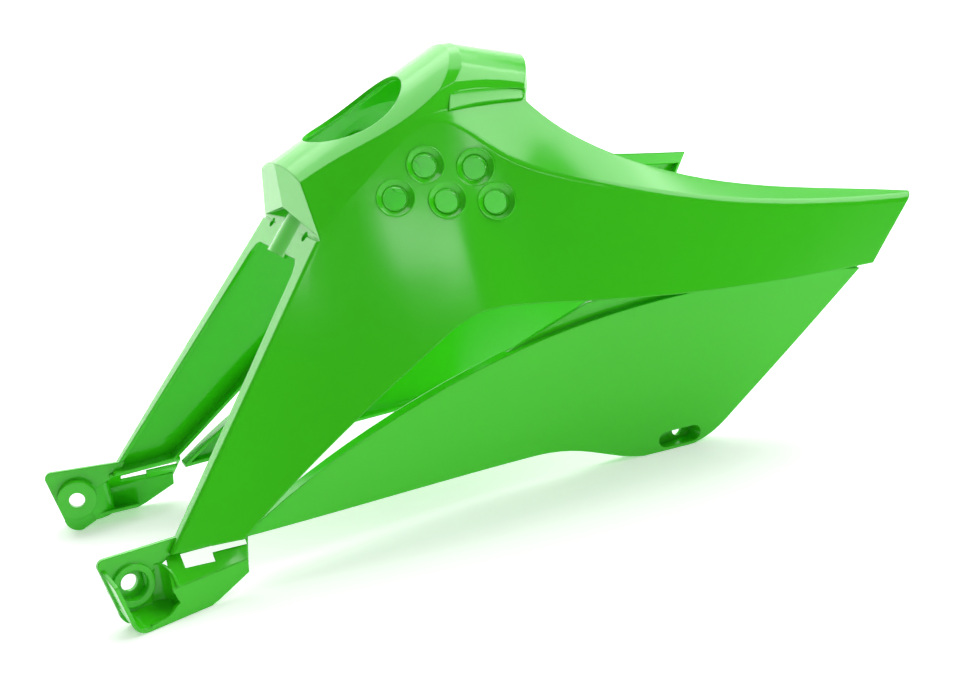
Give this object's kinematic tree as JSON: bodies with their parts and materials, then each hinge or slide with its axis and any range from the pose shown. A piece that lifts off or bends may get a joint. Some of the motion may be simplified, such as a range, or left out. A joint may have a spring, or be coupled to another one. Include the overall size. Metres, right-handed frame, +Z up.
{
  "type": "dirt bike radiator shroud",
  "caption": "One-piece moulded tank cover with two flared shroud wings, a round filler opening, dished vent holes and toed-in front mounting brackets.",
  "frame": {"origin": "on the symmetry plane, midway along the part, at the height of the brackets' and lower lobes' feet", "axes": "+X rearward along the machine, +Y to the machine's right, +Z up"},
  "size_m": [0.5083, 0.2562, 0.258],
  "materials": {
    "plastic": "gloss"
  },
  "bodies": {
    "root": {"shroud": "plastic"}
  },
  "joints": []
}
